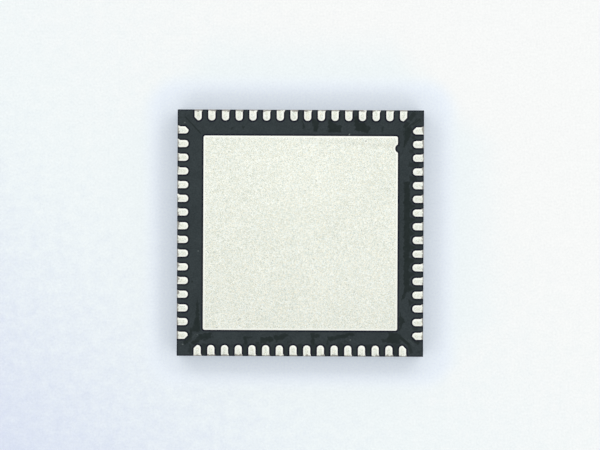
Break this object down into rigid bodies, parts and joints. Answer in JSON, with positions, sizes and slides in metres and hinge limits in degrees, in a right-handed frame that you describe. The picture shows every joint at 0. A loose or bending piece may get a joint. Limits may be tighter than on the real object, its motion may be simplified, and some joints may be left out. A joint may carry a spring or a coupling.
{
  "type": "microcontroller chip",
  "caption": "Square flat no-lead microcontroller package with leads along every side, a large exposed thermal pad with a pin 1 notch, and a black moulded body.",
  "frame": {"origin": "middle of the marked face, on the plane that the chip lies on", "axes": "+Z out of the terminal side, across the thickness; +X towards the side that holds pin 1; +Y towards the end of that side at which pin 1 lies"},
  "size_m": [0.009, 0.009, 0.0009],
  "materials": {
    "mould_compound": "black filled epoxy, finely matt",
    "tin_plated_copper": "matte tin plate on copper sheet, bare copper where it was sawn",
    "die_adhesive": "silver-filled adhesive",
    "silicon": "polished silicon",
    "gold_wire": "drawn gold wire"
  },
  "bodies": {
    "root": {"mould_body": "mould_compound", "die_paddle": "tin_plated_copper", "die_attach": "die_adhesive", "silicon_die": "silicon", "leads_side_1": "tin_plated_copper", "first_lead_side_1": "tin_plated_copper", "last_lead_side_1": "tin_plated_copper", "bond_wires_side_1": "gold_wire", "leads_side_2": "tin_plated_copper", "first_lead_side_2": "tin_plated_copper", "last_lead_side_2": "tin_plated_copper", "bond_wires_side_2": "gold_wire", "leads_side_3": "tin_plated_copper", "first_lead_side_3": "tin_plated_copper", "last_lead_side_3": "tin_plated_copper", "bond_wires_side_3": "gold_wire", "leads_side_4": "tin_plated_copper", "first_lead_side_4": "tin_plated_copper", "last_lead_side_4": "tin_plated_copper", "bond_wires_side_4": "gold_wire"}
  },
  "joints": []
}
